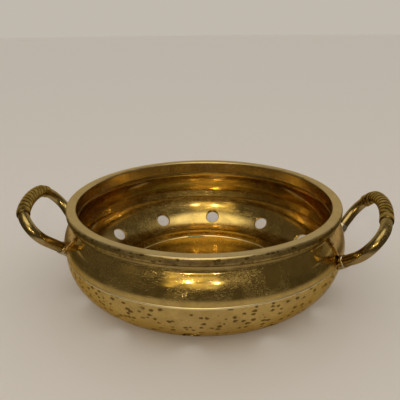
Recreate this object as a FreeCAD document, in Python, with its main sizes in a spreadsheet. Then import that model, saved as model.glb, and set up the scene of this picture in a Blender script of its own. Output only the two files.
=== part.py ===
import FreeCAD, Part
import os
import Sketcher
from FreeCAD import Vector

# Shallow brass incense burner with two raised loop handles.
# Millimetres, +Z up, origin at the middle of the flat base, +X through the right handle's side,
# -Y the front. The bowl is a turned pan with a bulging collar lapped into its mouth and a flat
# rim ring on top. Each handle is a bent rod in a rope sleeve, standing on two small feet beside
# a curved plate.

DRIVING_SIZES = [
    ("mouth_radius", 51.1, "inside of the rim and neck"),
    ("wall", 1.4, "sheet of the pan and collar"),
    ("belly_overhang", 3.8, "how far the collar's bulge stands out from the neck"),
    ("seam_step", 0.2, "how far the collar stands in from the pan at the seam"),
    ("pan_corner_radius", 17.3, "round turn from the flat bottom to the wall, outside"),
    ("belly_band", 1.7, "straight upright band above the turn"),
    ("shoulder_radius", 16.0, "bulge of the collar, outside"),
    ("cove_radius", 2.0, "hollow turn from the shoulder up to the neck, outside"),
    ("lap_length", 2.8, "collar tongue inside the pan's mouth"),
    ("lap_sheet", 0.9, "tongue thickness"),
    ("braze_gap", 0.1, "film of braze between curved faces"),
    ("neck_length", 2.0, "upright neck under the rim"),
    ("rim_width", 3.9, "flat top of the rim"),
    ("rim_face", 3.6, "outer face of the rim"),
    ("rim_top_round", 0.8, "rounding of the rim's upper edges"),
    ("rim_lip_round", 1.5, "rounding of the rim's lower lip"),
    ("vent_count", 12, "vent holes round the pan"),
    ("vent_radius", 3.1, "one vent hole"),
    ("vent_slope", 46.0, "degrees below level of each vent's axis"),
    ("ring_line_inset", 3.6, "turned line on the floor, in from the floor's edge"),
    ("ring_line_width", 0.8, "turned line, side to side"),
    ("ring_line_depth", 0.35, "turned line, into the floor"),
    ("handle_turn", 8.2, "degrees that both handles sit towards the front"),
    ("handle_slope", 49.0, "degrees that the loops stand above level"),
    ("handle_seat_inset", 0.3, "root line of the loops, in from the collar's widest"),
    ("handle_seat_lift", 0.96, "root line of the loops, above the seam"),
    ("loop_reach", 21.8, "root line to the middle of the grip"),
    ("loop_corner_radius", 9.0, "outer corners of a loop, at the rod's centre"),
    ("bow_radius", 60.0, "gentle bow of a loop's outer stretch"),
    ("right_foot_spread", 15.6, "right rod's centre at the root line, from the loop's middle"),
    ("left_foot_spread", 12.6, "left rod's centre at the root line, from the loop's middle"),
    ("right_loop_spread", 22.0, "right rod's centre at the widest, from the loop's middle"),
    ("left_loop_spread", 18.5, "left rod's centre at the widest, from the loop's middle"),
    ("rod_radius", 2.1, "handle rod"),
    ("grip_radius", 2.55, "rope sleeve, outside"),
    ("grip_gap", 0.1, "sleeve bore round the rod"),
    ("right_grip_front", 12.0, "front end of the right sleeve, from the loop's middle"),
    ("left_grip_start", 18.0, "degrees of the front corner that the left sleeve covers"),
    ("right_grip_end", 57.0, "degrees of the rear corner that the right sleeve covers"),
    ("left_grip_end", 36.0, "degrees of the rear corner that the left sleeve covers"),
    ("foot_radius", 2.45, "foot collar, outside"),
    ("foot_stand", 1.6, "outer end of a foot beyond the root line"),
    ("foot_round", 0.5, "rounding of a foot's outer edge"),
    ("socket_depth", 0.8, "rod's seat in a foot"),
    ("socket_gap", 0.05, "foot bore round the rod"),
    ("plate_sheet", 0.8, "handle plate"),
    ("plate_top_gap", 0.5, "plate below the rim"),
    ("plate_bottom_gap", 0.8, "plate above the seam"),
    ("plate_side_height", 8.0, "where the plate's side starts to turn in, above the seam"),
    ("plate_foot_width", 12.4, "plate's lower corner from its middle"),
    ("right_plate_width", 17.8, "right plate's upper side from its middle"),
    ("left_plate_width", 22.6, "left plate's upper side from its middle"),
    ("plate_side_bulge", 1.6, "how far the plate's turned-in side bows out of straight"),
]

DERIVED_SIZES = [
    ("neck_radius", "mouth_radius + wall"),
    ("collar_radius", "neck_radius + belly_overhang"),
    ("belly_radius", "collar_radius + seam_step"),
    ("base_flat_radius", "belly_radius - pan_corner_radius"),
    ("seam_height", "pan_corner_radius + belly_band"),
    ("bend_sum", "shoulder_radius + cove_radius"),
    ("bend_span", "bend_sum - belly_overhang"),
    ("bend_rise", "sqrt(bend_sum ^ 2 - bend_span ^ 2)"),
    ("neck_height", "seam_height + bend_rise"),
    ("rim_underside", "neck_height + neck_length"),
    ("bowl_height", "rim_underside + rim_face"),
    ("rim_radius", "mouth_radius + rim_width"),
    ("ring_line_radius", "base_flat_radius - ring_line_inset"),
    ("ring_line_top", "wall + ring_line_depth / 4"),
    ("vent_cut_start", "pan_corner_radius - 2 * wall"),
    ("vent_cut_end", "pan_corner_radius + wall"),
    ("handle_seat", "collar_radius - handle_seat_inset"),
    ("root_height", "seam_height + handle_seat_lift"),
    ("bow_centre", "loop_reach - bow_radius"),
    ("rod_seat", "foot_stand - socket_depth"),
    ("cutter_reach", "2 * (foot_radius + wall)"),
]

SAME = 1e-4  # two lengths nearer than this are the same length

SIDES = {
    # side: (azimuth of the handle in degrees, sign of the loop's rear half in its own plane)
    "right": ("-Sizes.handle_turn", 1),
    "left": ("180 + Sizes.handle_turn", -1),
}


# The document and its sheet of sizes

def make_sheet(doc):
    """Puts the driving sizes, then the sizes worked out from them, into the sheet."""
    sheet = doc.addObject("Spreadsheet::Sheet", "Sizes")
    row = 1
    for alias, number, meaning in DRIVING_SIZES:
        sheet.set(f"A{row}", alias)
        sheet.set(f"B{row}", str(number))
        sheet.set(f"C{row}", meaning)
        sheet.setAlias(f"B{row}", alias)
        row += 1
    for alias, formula in DERIVED_SIZES + loop_sizes():
        sheet.set(f"A{row}", alias)
        sheet.set(f"B{row}", "=" + formula)
        sheet.setAlias(f"B{row}", alias)
        row += 1
    doc.recompute()
    return sheet


def loop_sizes():
    """The corner centre and leg slope of each loop, from its spreads."""
    rows = []
    for side in SIDES:
        across = f"{side}_corner_across"
        out = f"{side}_corner_out"
        slack = f"({side}_foot_spread - {across})"
        rows.append((across, f"{side}_loop_spread - loop_corner_radius"))
        rows.append((out, f"bow_centre + sqrt((bow_radius - loop_corner_radius) ^ 2 - {across} ^ 2)"))
        reach = f"sqrt({out} ^ 2 + {slack} ^ 2)"
        rows.append((f"{side}_leg_slope", f"asin(loop_corner_radius / {reach}) - atan({slack} / {out})"))
    return rows


def number(doc, expression):
    """The value of an expression on the sheet, as a plain number."""
    result = doc.Sizes.evalExpression(expression.replace("Sizes.", ""))
    return float(getattr(result, "Value", result))


# Sketches whose every point is dimensioned from the origin

def origin_item(body, role):
    """One of a body's own origin planes or axes."""
    return next(item for item in body.Origin.OriginFeatures if item.Role == role)


def plane_sketch(body, name, role):
    """A new sketch on one of a body's own origin planes."""
    sketch = body.newObject("Sketcher::SketchObject", name)
    sketch.AttachmentSupport = [(origin_item(body, role), "")]
    sketch.MapMode = "FlatFace"
    return sketch


class Profile:
    """A sketch drawn point by point, with each point's place bound to the sheet."""

    def __init__(self, sketch):
        self.doc = sketch.Document
        self.sketch = sketch
        self.last = None
        self.first = None

    def spot(self, place):
        return Vector(number(self.doc, place[0]), number(self.doc, place[1]), 0)

    def dimension(self, geometry, end, place, axes="xy"):
        """Ties one end of an edge to its place, along x, y or both."""
        spot = self.spot(place)
        for axis, kind, line, value, expression in (
            ("x", "DistanceX", -2, spot.x, place[0]),
            ("y", "DistanceY", -1, spot.y, place[1]),
        ):
            if axis not in axes:
                continue
            if expression == "0":
                self.sketch.addConstraint(Sketcher.Constraint("PointOnObject", geometry, end, line))
                continue
            if value < 0:
                made = Sketcher.Constraint(kind, geometry, end, -1, 1, -value)
                expression = f"-({expression})"
            else:
                made = Sketcher.Constraint(kind, -1, 1, geometry, end, value)
            index = self.sketch.addConstraint(made)
            self.sketch.setExpression(f"Constraints[{index}]", expression)

    def join(self, geometry, end):
        """Joins an edge to the end of the edge before it."""
        if self.last:
            self.sketch.addConstraint(Sketcher.Constraint("Coincident", *self.last, geometry, end))
        else:
            self.first = (geometry, end)

    def line(self, start, end, construction=False):
        edge = Part.LineSegment(self.spot(start), self.spot(end))
        geometry = self.sketch.addGeometry(edge, construction)
        if construction:
            self.dimension(geometry, 1, start)
            self.dimension(geometry, 2, end)
            return
        self.join(geometry, 1)
        if self.first == (geometry, 1):
            self.dimension(geometry, 1, start)
        self.dimension(geometry, 2, end)
        self.last = (geometry, 2)

    def arc(self, centre, start, end, axes, clockwise=False):
        """An arc about a centre: its end is dimensioned only along the axes given."""
        middle = self.spot(centre)
        a = self.spot(start) - middle
        b = self.spot(end) - middle
        near, far = (b, a) if clockwise else (a, b)
        x_axis = Vector(1, 0, 0)
        z_axis = Vector(0, 0, 1)
        turns = []
        for arm in (near, far):
            angle = arm.getAngle(x_axis)
            turns.append(-angle if x_axis.cross(arm).dot(z_axis) < 0 else angle)
        circle = Part.Circle(middle, z_axis, a.Length)
        geometry = self.sketch.addGeometry(Part.ArcOfCircle(circle, turns[0], turns[1]), False)
        begin, finish = (2, 1) if clockwise else (1, 2)
        self.join(geometry, begin)
        if self.first == (geometry, begin):
            self.dimension(geometry, begin, start)
        self.dimension(geometry, 3, centre)
        self.dimension(geometry, finish, end, axes)
        self.last = (geometry, finish)

    def circle(self, radius):
        """A circle about the sketch's own origin."""
        ring = Part.Circle(Vector(0, 0, 0), Vector(0, 0, 1), number(self.doc, radius))
        geometry = self.sketch.addGeometry(ring, False)
        self.sketch.addConstraint(Sketcher.Constraint("Coincident", geometry, 3, -1, 1))
        index = self.sketch.addConstraint(Sketcher.Constraint("Radius", geometry, ring.Radius))
        self.sketch.setExpression(f"Constraints[{index}]", radius)

    def close(self, start):
        """A straight edge back to the first point."""
        tail = self.sketch.getPoint(*self.last)
        edge = Part.LineSegment(tail, self.spot(start))
        geometry = self.sketch.addGeometry(edge, False)
        self.join(geometry, 1)
        self.sketch.addConstraint(Sketcher.Constraint("Coincident", geometry, 2, *self.first))

    def outline(self, points):
        """A closed outline of straight edges."""
        for start, end in zip(points, points[1:]):
            self.line(start, end)
        self.close(points[0])


def new_body(doc, label):
    body = doc.addObject("PartDesign::Body", label.title().replace("_", ""))
    body.Label = label
    return body


def revolve(body, profile, kind="PartDesign::Revolution", axis=None):
    """Turns a profile all the way round the Z axis, or round an axis of its own."""
    feature = body.newObject(kind, profile.sketch.Name + "Turned")
    feature.Profile = profile.sketch
    feature.ReferenceAxis = axis or (origin_item(body, "Z_Axis"), [""])
    feature.Angle = 360
    body.Document.recompute()
    return feature


# The bowl's outline, shared by the collar, the plates and the feet

def shoulder_points(offset="0"):
    """Centres and ends of the shoulder and cove arcs, moved outwards by an offset."""
    drop = "Sizes.bend_rise / Sizes.bend_sum"
    lean = "Sizes.bend_span / Sizes.bend_sum"
    shoulder_x = "Sizes.collar_radius - Sizes.shoulder_radius"
    arm = f"(Sizes.shoulder_radius + {offset})"
    return {
        "shoulder_centre": (shoulder_x, "Sizes.seam_height"),
        "cove_centre": ("Sizes.neck_radius + Sizes.cove_radius", "Sizes.neck_height"),
        "foot": (f"Sizes.collar_radius + {offset}", "Sizes.seam_height"),
        "turn": (f"{shoulder_x} + {arm} * {lean}", f"Sizes.seam_height + {arm} * {drop}"),
        "top": (f"Sizes.neck_radius + {offset}", "Sizes.neck_height"),
    }


def make_envelope(doc, name, offset):
    """A solid of the pan's and collar's outside, grown by an offset, to trim what seats on them."""
    body = new_body(doc, name)
    profile = Profile(plane_sketch(body, name + "_outline", "XZ_Plane"))
    bend = shoulder_points(offset)
    bottom = ("0", "0")
    corner = ("Sizes.belly_radius + " + offset, "0")
    seam = (corner[0], "Sizes.seam_height")
    axis_top = ("0", "Sizes.rim_underside")
    profile.line(bottom, corner)
    profile.line(corner, seam)
    profile.line(seam, bend["foot"])
    profile.arc(bend["shoulder_centre"], bend["foot"], bend["turn"], "y")
    profile.arc(bend["cove_centre"], bend["turn"], bend["top"], "y", clockwise=True)
    profile.line(bend["top"], (bend["top"][0], "Sizes.rim_underside"))
    profile.line((bend["top"][0], "Sizes.rim_underside"), axis_top)
    profile.close(bottom)
    revolve(body, profile)
    return body


# The bowl

def make_lower_bowl(doc):
    body = new_body(doc, "lower_bowl")
    profile = Profile(plane_sketch(body, "pan_outline", "XZ_Plane"))
    centre = ("Sizes.base_flat_radius", "Sizes.pan_corner_radius")
    bottom = ("0", "0")
    base_edge = ("Sizes.base_flat_radius", "0")
    band_foot = ("Sizes.belly_radius", "Sizes.pan_corner_radius")
    band_top = ("Sizes.belly_radius", "Sizes.seam_height")
    inner_top = ("Sizes.belly_radius - Sizes.wall", "Sizes.seam_height")
    inner_foot = ("Sizes.belly_radius - Sizes.wall", "Sizes.pan_corner_radius")
    floor_edge = ("Sizes.base_flat_radius", "Sizes.wall")
    floor_middle = ("0", "Sizes.wall")
    profile.line(bottom, base_edge)
    profile.arc(centre, base_edge, band_foot, "y")
    profile.line(band_foot, band_top)
    profile.line(band_top, inner_top)
    profile.line(inner_top, inner_foot)
    profile.arc(centre, inner_foot, floor_edge, "x", clockwise=True)
    profile.line(floor_edge, floor_middle)
    profile.close(bottom)
    revolve(body, profile)
    cut_ring_line(body)
    cut_vents(body)
    return body


def cut_ring_line(body):
    """The turned line on the floor of the pan."""
    profile = Profile(plane_sketch(body, "ring_line", "XZ_Plane"))
    half = "Sizes.ring_line_width / 2"
    profile.outline([
        ("Sizes.ring_line_radius - " + half, "Sizes.ring_line_top"),
        ("Sizes.ring_line_radius", "Sizes.wall - Sizes.ring_line_depth"),
        ("Sizes.ring_line_radius + " + half, "Sizes.ring_line_top"),
    ])
    revolve(body, profile, "PartDesign::Groove")


def cut_vents(body):
    """One vent square to the round corner, repeated round the pan from the rear."""
    across = "cos(Sizes.vent_slope)"
    down = "sin(Sizes.vent_slope)"
    before = "Sizes.vent_cut_start"
    beyond = "Sizes.vent_cut_end"

    def along(distance, aside="0"):
        x = f"Sizes.base_flat_radius + {distance} * {across} + {aside} * {down}"
        y = f"Sizes.pan_corner_radius - {distance} * {down} + {aside} * {across}"
        return x, y

    profile = Profile(plane_sketch(body, "vent", "YZ_Plane"))
    inner = along(before)
    outer = along(beyond)
    profile.line(inner, outer, construction=True)
    profile.outline([
        inner,
        outer,
        along(beyond, "Sizes.vent_radius"),
        along(before, "Sizes.vent_radius"),
    ])
    vent = revolve(body, profile, "PartDesign::Groove", (profile.sketch, ["Axis0"]))
    pattern = body.newObject("PartDesign::PolarPattern", "vent_ring")
    pattern.Originals = [vent]
    pattern.Axis = (origin_item(body, "Z_Axis"), [""])
    pattern.Angle = 360
    pattern.setExpression("Occurrences", "Sizes.vent_count")
    body.Tip = pattern


def make_shoulder_collar(doc):
    body = new_body(doc, "shoulder_collar")
    profile = Profile(plane_sketch(body, "collar_outline", "XZ_Plane"))
    outside = shoulder_points()
    inside = shoulder_points("(-Sizes.wall)")
    tongue_radius = "Sizes.belly_radius - Sizes.wall - Sizes.braze_gap"
    tongue_end = "Sizes.seam_height - Sizes.lap_length"
    tongue_inner = (tongue_radius + " - Sizes.lap_sheet", tongue_end)
    tongue_outer = (tongue_radius, tongue_end)
    tongue_root = (tongue_radius, "Sizes.seam_height")
    neck_inner = ("Sizes.mouth_radius", "Sizes.neck_height")
    profile.line(tongue_inner, tongue_outer)
    profile.line(tongue_outer, tongue_root)
    profile.line(tongue_root, outside["foot"])
    profile.arc(outside["shoulder_centre"], outside["foot"], outside["turn"], "y")
    profile.arc(outside["cove_centre"], outside["turn"], outside["top"], "y", clockwise=True)
    profile.line(outside["top"], neck_inner)
    profile.arc(inside["cove_centre"], neck_inner, inside["turn"], "y")
    profile.arc(inside["shoulder_centre"], inside["turn"], inside["foot"], "y", clockwise=True)
    profile.close(tongue_inner)
    revolve(body, profile)
    return body


def make_rim_ring(doc):
    body = new_body(doc, "rim_ring")
    profile = Profile(plane_sketch(body, "rim_outline", "XZ_Plane"))
    profile.outline([
        ("Sizes.mouth_radius", "Sizes.neck_height"),
        ("Sizes.neck_radius", "Sizes.neck_height"),
        ("Sizes.neck_radius", "Sizes.rim_underside"),
        ("Sizes.rim_radius", "Sizes.rim_underside"),
        ("Sizes.rim_radius", "Sizes.bowl_height"),
        ("Sizes.mouth_radius", "Sizes.bowl_height"),
    ])
    base = revolve(body, profile)
    rounds = [
        ("rim_radius", "bowl_height", "rim_top_round"),
        ("mouth_radius", "bowl_height", "rim_top_round"),
        ("rim_radius", "rim_underside", "rim_lip_round"),
    ]
    for radius, height, size in rounds:
        base = round_ring_edge(body, base, radius, height, size)
    return body


def round_ring_edge(body, base, radius, height, size):
    """Rounds the circular edge of a radius at a height."""
    doc = body.Document
    wanted_radius = number(doc, radius)
    wanted_height = number(doc, height)
    for index, edge in enumerate(base.Shape.Edges, 1):
        round_edge = isinstance(edge.Curve, Part.Circle)
        if not round_edge or abs(edge.Curve.Center.z - wanted_height) > SAME:
            continue
        if abs(edge.Curve.Radius - wanted_radius) < SAME:
            feature = body.newObject("PartDesign::Fillet", f"round_{radius}_{height}")
            feature.Base = (base, [f"Edge{index}"])
            feature.setExpression("Radius", "Sizes." + size)
            doc.recompute()
            return feature
    raise ValueError(f"no edge of {radius} at {height}")


# The handles, each drawn in its own sloping plane: x outwards along the loop, y across it

def handle_placement(side):
    azimuth = SIDES[side][0]
    x = f"Sizes.handle_seat * cos({azimuth})"
    y = f"Sizes.handle_seat * sin({azimuth})"
    turn = f"rotationz({azimuth}) * rotationy(-Sizes.handle_slope)"
    return f"placement(vector({x}; {y}; Sizes.root_height); {turn})"


def signed(sign, expression):
    return expression if sign > 0 else f"-({expression})"


def loop_points(side, sign):
    """The half of a loop's centreline on one side of its middle."""
    slope = f"Sizes.{side}_leg_slope"
    out = f"Sizes.{side}_corner_out"
    across = f"Sizes.{side}_corner_across"
    spread = f"Sizes.{side}_foot_spread"
    share = "Sizes.bow_radius / (Sizes.bow_radius - Sizes.loop_corner_radius)"
    return {
        "start": (
            f"Sizes.rod_seat * cos({slope})",
            signed(sign, f"{spread} + Sizes.rod_seat * sin({slope})"),
        ),
        "leg_end": (
            f"{out} - Sizes.loop_corner_radius * sin({slope})",
            signed(sign, f"{across} + Sizes.loop_corner_radius * cos({slope})"),
        ),
        "corner": (out, signed(sign, across)),
        "bow_end": (
            f"Sizes.bow_centre + ({out} - Sizes.bow_centre) * {share}",
            signed(sign, f"{across} * {share}"),
        ),
    }


def make_rod(doc, side):
    body = new_body(doc, f"{side}_handle_rod")
    body.setExpression("Placement", handle_placement(side))
    path = Profile(plane_sketch(body, f"{side}_rod_path", "XY_Plane"))
    low = loop_points(side, -1)
    high = loop_points(side, 1)
    bow = ("Sizes.bow_centre", "0")
    path.line(low["start"], low["leg_end"])
    path.arc(low["corner"], low["leg_end"], low["bow_end"], "y")
    path.arc(bow, low["bow_end"], high["bow_end"], "y")
    path.arc(high["corner"], high["bow_end"], high["leg_end"], "x")
    path.line(high["leg_end"], high["start"])
    doc.recompute()
    sweep(body, path, ["Sizes.rod_radius"], 0)
    return body


def on_corner(side, sign, degrees):
    """The point some degrees round a corner of the loop, counted from its bow."""
    across = f"Sizes.{side}_corner_across"
    out = f"Sizes.{side}_corner_out"
    angle = f"(atan({across} / ({out} - Sizes.bow_centre)) + {degrees} * 1 deg)"
    return (
        f"{out} + Sizes.loop_corner_radius * cos({angle})",
        signed(sign, f"{across} + Sizes.loop_corner_radius * sin({angle})"),
    )


def make_grip(doc, side):
    """The rope sleeve, from its front end round the bow and into the rear corner of the loop."""
    rear = SIDES[side][1]
    backwards = rear < 0
    body = new_body(doc, f"{side}_handle_grip")
    body.setExpression("Placement", handle_placement(side))
    path = Profile(plane_sketch(body, f"{side}_grip_path", "XY_Plane"))
    bow = ("Sizes.bow_centre", "0")
    if side == "right":
        front = "Sizes.right_grip_front"
        start = (f"Sizes.bow_centre + sqrt(Sizes.bow_radius ^ 2 - {front} ^ 2)", signed(-rear, front))
    else:
        near = loop_points(side, -rear)
        start = near["bow_end"]
        front_end = on_corner(side, -rear, "Sizes.left_grip_start")
        path.arc(near["corner"], front_end, start, "y", clockwise=backwards)
    half = loop_points(side, rear)
    rear_end = on_corner(side, rear, f"Sizes.{side}_grip_end")
    path.arc(bow, start, half["bow_end"], "y", clockwise=backwards)
    path.arc(half["corner"], half["bow_end"], rear_end, "x", clockwise=backwards)
    doc.recompute()
    bore = "Sizes.rod_radius + Sizes.grip_gap"
    sweep(body, path, ["Sizes.grip_radius", bore], 1 if backwards else 0)
    return body


def sweep(body, path, radii, end):
    """Sweeps circles along a path, from the start (0) or the end (1) of the path's first edge."""
    section = body.newObject("Sketcher::SketchObject", path.sketch.Name + "_section")
    section.AttachmentSupport = [(path.sketch, "Edge1")]
    section.MapMode = "NormalToEdge"
    section.MapPathParameter = end
    body.Document.recompute()
    rings = Profile(section)
    for radius in radii:
        rings.circle(radius)
    body.Document.recompute()
    pipe = body.newObject("PartDesign::AdditivePipe", path.sketch.Name + "_swept")
    pipe.Profile = section
    edges = [f"Edge{n}" for n in range(1, len(path.sketch.Shape.Edges) + 1)]
    pipe.Spine = (path.sketch, edges)
    body.Document.recompute()


def turned_on_leg(doc, name, side, sign, outline):
    """A body turned round a leg's axis: the outline gives distances along and off the axis."""
    slope = f"Sizes.{side}_leg_slope"
    spread = f"Sizes.{side}_foot_spread"
    body = new_body(doc, name)
    body.setExpression("Placement", handle_placement(side))

    def on_leg(along, off):
        x = f"({along}) * cos({slope}) - ({off}) * sin({slope})"
        y = signed(sign, f"{spread} + ({along}) * sin({slope}) + ({off}) * cos({slope})")
        return x, y

    profile = Profile(plane_sketch(body, name + "_outline", "XY_Plane"))
    profile.line(on_leg(outline[0][0], "0"), on_leg(outline[-1][0], "0"), construction=True)
    profile.outline([on_leg(along, off) for along, off in outline])
    revolve(body, profile, axis=(profile.sketch, ["Axis0"]))
    return body


def make_foot(doc, side, end, envelope):
    """A small collar round the rod's end, its inner end cut to the bowl."""
    sign = SIDES[side][1] * (1 if end == "rear" else -1)
    name = f"{side}_{end}_foot"
    bore = "Sizes.rod_radius + Sizes.socket_gap"
    blank = turned_on_leg(doc, name + "_blank", side, sign, [
        ("-Sizes.cutter_reach", "0"),
        ("-Sizes.cutter_reach", "Sizes.foot_radius"),
        ("Sizes.foot_stand - Sizes.foot_round", "Sizes.foot_radius"),
        ("Sizes.foot_stand", "Sizes.foot_radius - Sizes.foot_round / 2"),
        ("Sizes.foot_stand", bore),
        ("Sizes.rod_seat", bore),
        ("Sizes.rod_seat", "0"),
    ])
    foot = doc.addObject("Part::Cut", name.title().replace("_", ""))
    foot.Base = blank
    foot.Tool = envelope
    foot.Label = name
    return foot


def make_plate(doc, side, inner, outer):
    """A shield of sheet that follows the shoulder, notched round the two feet."""
    azimuth = SIDES[side][0]
    name = f"{side}_handle_plate"
    blank = new_body(doc, name + "_blank")
    blank.setExpression("Placement", f"placement(vector(0; 0; 0); rotationz({azimuth}))")
    profile = Profile(plane_sketch(blank, name + "_outline", "YZ_Plane"))
    top = "Sizes.rim_underside - Sizes.plate_top_gap"
    side_foot = "Sizes.seam_height + Sizes.plate_side_height"
    bottom = "Sizes.seam_height + Sizes.plate_bottom_gap"
    width = f"Sizes.{side}_plate_width"
    rise = f"({side_foot} - ({bottom}))"
    span = f"({width} - Sizes.plate_foot_width)"
    chord = f"sqrt({rise} ^ 2 + {span} ^ 2)"
    middle = (
        f"({width} + Sizes.plate_foot_width) / 2 + Sizes.plate_side_bulge * {rise} / {chord}",
        f"({side_foot} + {bottom}) / 2 - Sizes.plate_side_bulge * {span} / {chord}",
    )
    half = [(width, top), (width, side_foot), middle, ("Sizes.plate_foot_width", bottom)]
    mirrored = [(f"-({x})", y) for x, y in reversed(half)]
    profile.outline(half + mirrored)
    pad = blank.newObject("PartDesign::Pad", name + "_pad")
    pad.Profile = profile.sketch
    pad.setExpression("Length", "Sizes.belly_radius + Sizes.rim_width")
    doc.recompute()
    shield = doc.addObject("Part::Common", name + "_shield")
    shield.Base = blank
    shield.Tool = outer
    sheet = doc.addObject("Part::Cut", name + "_sheet")
    sheet.Base = shield
    sheet.Tool = inner
    clearance = "Sizes.foot_radius + Sizes.braze_gap"
    piece = sheet
    for end, sign in (("near", -1), ("far", 1)):
        cut = doc.addObject("Part::Cut", f"{name}_{end}_cut")
        cut.Base = piece
        cut.Tool = turned_on_leg(doc, f"{name}_{end}_notch", side, sign, [
            ("-Sizes.cutter_reach", "0"),
            ("-Sizes.cutter_reach", clearance),
            ("Sizes.cutter_reach", clearance),
            ("Sizes.cutter_reach", "0"),
        ])
        piece = cut
    piece.Label = name
    return piece


# Building, checking and writing

def build():
    doc = FreeCAD.newDocument("incense_burner")
    make_sheet(doc)
    pieces = [make_lower_bowl(doc), make_shoulder_collar(doc), make_rim_ring(doc)]
    inner = make_envelope(doc, "seat_envelope", "Sizes.braze_gap")
    outer = make_envelope(doc, "plate_envelope", "(Sizes.braze_gap + Sizes.plate_sheet)")
    for side in SIDES:
        pieces.append(make_rod(doc, side))
        pieces.append(make_grip(doc, side))
        pieces.append(make_plate(doc, side, inner, outer))
        pieces += [make_foot(doc, side, end, inner) for end in ("front", "rear")]
    doc.recompute()
    return doc, pieces


def check(doc, pieces):
    for item in doc.Objects:
        if "Invalid" in item.State or "Error" in item.State:
            raise RuntimeError(f"{item.Label}: {item.State}")
    for piece in pieces:
        shape = piece.Shape
        if shape.isNull() or not shape.isValid() or len(shape.Solids) != 1:
            raise RuntimeError(f"{piece.Label}: not one valid solid")


def write(pieces):
    os.makedirs("parts", exist_ok=True)
    for piece in pieces:
        piece.Shape.exportStep(f"parts/{piece.Label}.step")
        box = piece.Shape.BoundBox
        print(f"{piece.Label}: {piece.Shape.Volume:.1f} mm3, z {box.ZMin:.2f} to {box.ZMax:.2f}")


document, made = build()
check(document, made)
write(made)
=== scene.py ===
# %% [markdown]
# # A small brass incense burner
# The frame holds the burner's thirteen pieces as plain solids at their real size. Here each one is
# turned, bent or cut again as a smooth mesh in the same place, and gets its aged-brass finish.
# Everything is in metres, with the flat base on z = 0 and the front towards -Y.

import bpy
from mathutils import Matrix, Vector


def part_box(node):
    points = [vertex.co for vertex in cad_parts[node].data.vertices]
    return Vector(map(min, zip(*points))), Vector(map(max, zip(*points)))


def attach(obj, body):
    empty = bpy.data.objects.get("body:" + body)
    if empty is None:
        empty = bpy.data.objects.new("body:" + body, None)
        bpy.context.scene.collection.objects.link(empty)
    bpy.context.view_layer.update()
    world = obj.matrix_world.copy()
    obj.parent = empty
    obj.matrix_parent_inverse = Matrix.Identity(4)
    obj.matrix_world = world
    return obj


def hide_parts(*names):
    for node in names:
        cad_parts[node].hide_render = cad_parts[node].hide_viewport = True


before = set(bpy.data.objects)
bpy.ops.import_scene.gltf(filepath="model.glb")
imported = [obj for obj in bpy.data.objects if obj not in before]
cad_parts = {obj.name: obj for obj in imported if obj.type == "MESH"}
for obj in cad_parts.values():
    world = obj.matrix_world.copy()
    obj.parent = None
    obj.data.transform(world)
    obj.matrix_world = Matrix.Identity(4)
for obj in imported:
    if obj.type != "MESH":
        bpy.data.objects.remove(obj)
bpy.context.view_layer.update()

# %% Tools used all through
import math

import bmesh
import bpy
from mathutils import Matrix, Vector

MM = 0.001
Z_AXIS = Vector((0, 0, 1))
scene = bpy.context.scene

# %% [markdown]
# ## The sizes of the bowl
# Most sizes can be read from the frame, because a turned piece is as wide as its box. The rest are
# the maker's own, in millimetres: sheet thickness, the round of each bend, and the joints.
# Reading them from the frame keeps the two models together when a size changes.

# %% Sizes read from the frame
_, rim_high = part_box("rim_ring")
collar_low, collar_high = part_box("shoulder_collar")
_, pan_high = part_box("lower_bowl")
RIM_RADIUS = rim_high.x
RIM_TOP = rim_high.z
NECK_HEIGHT = collar_high.z
COLLAR_RADIUS = collar_high.x
BELLY_RADIUS = pan_high.x
SEAM_HEIGHT = pan_high.z
TONGUE_END = collar_low.z
print("rim radius, bowl height and seam height:", RIM_RADIUS, RIM_TOP, SEAM_HEIGHT)

# %% Sizes of the maker's own
WALL = 1.4 * MM
MOUTH_RADIUS = RIM_RADIUS - 3.9 * MM
NECK_RADIUS = MOUTH_RADIUS + WALL
RIM_FACE = 3.6 * MM
RIM_UNDERSIDE = RIM_TOP - RIM_FACE
PAN_CORNER = 17.3 * MM
SHOULDER = 16.0 * MM
COVE = 2.0 * MM
LAP_SHEET = 0.9 * MM
BRAZE_GAP = 0.1 * MM
TURNS = 240


# %% [markdown]
# ## Turning on a lathe
# A spun bowl is the same outline all the way round. An outline can be drawn as a curve and given a
# Screw modifier, or built as a chain of edges and spun. The chain is used here, because the spin
# operator that turns it round the axis also draws its arcs, so every bend is a true arc.

# %% A chain of edges drawn like a pencil line
class Outline:
    """A chain of edges in the XZ plane, drawn from point to point."""

    def __init__(self, radius, height):
        self.bm = bmesh.new()
        self.tip = self.bm.verts.new((radius, 0, height))
        self.start = self.tip

    def line(self, radius, height, steps=1):
        move = (Vector((radius, 0, height)) - self.tip.co) / steps
        for _ in range(steps):
            made = bmesh.ops.extrude_vert_indiv(self.bm, verts=[self.tip])
            self.tip = made["verts"][0]
            self.tip.co += move
        return self

    def arc(self, radius, height, degrees, steps):
        """Swings the tip round a centre. Positive degrees turn from +X towards +Z."""
        made = bmesh.ops.spin(
            self.bm, geom=[self.tip], cent=(radius, 0, height), axis=(0, -1, 0),
            angle=math.radians(degrees), steps=steps, use_merge=False,
        )
        self.tip = next(item for item in made["geom_last"] if isinstance(item, bmesh.types.BMVert))
        return self

    def close(self):
        self.bm.edges.new((self.tip, self.start))
        return self

    def turn(self, turns=TURNS):
        """Spins the chain all the way round Z and leaves a skin that points outwards."""
        bmesh.ops.spin(
            self.bm, geom=self.bm.verts[:] + self.bm.edges[:], cent=(0, 0, 0), axis=Z_AXIS,
            angle=math.tau, steps=turns, use_merge=True,
        )
        bmesh.ops.remove_doubles(self.bm, verts=self.bm.verts, dist=0.002 * MM)
        bmesh.ops.recalc_face_normals(self.bm, faces=self.bm.faces)
        return self.bm


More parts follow.
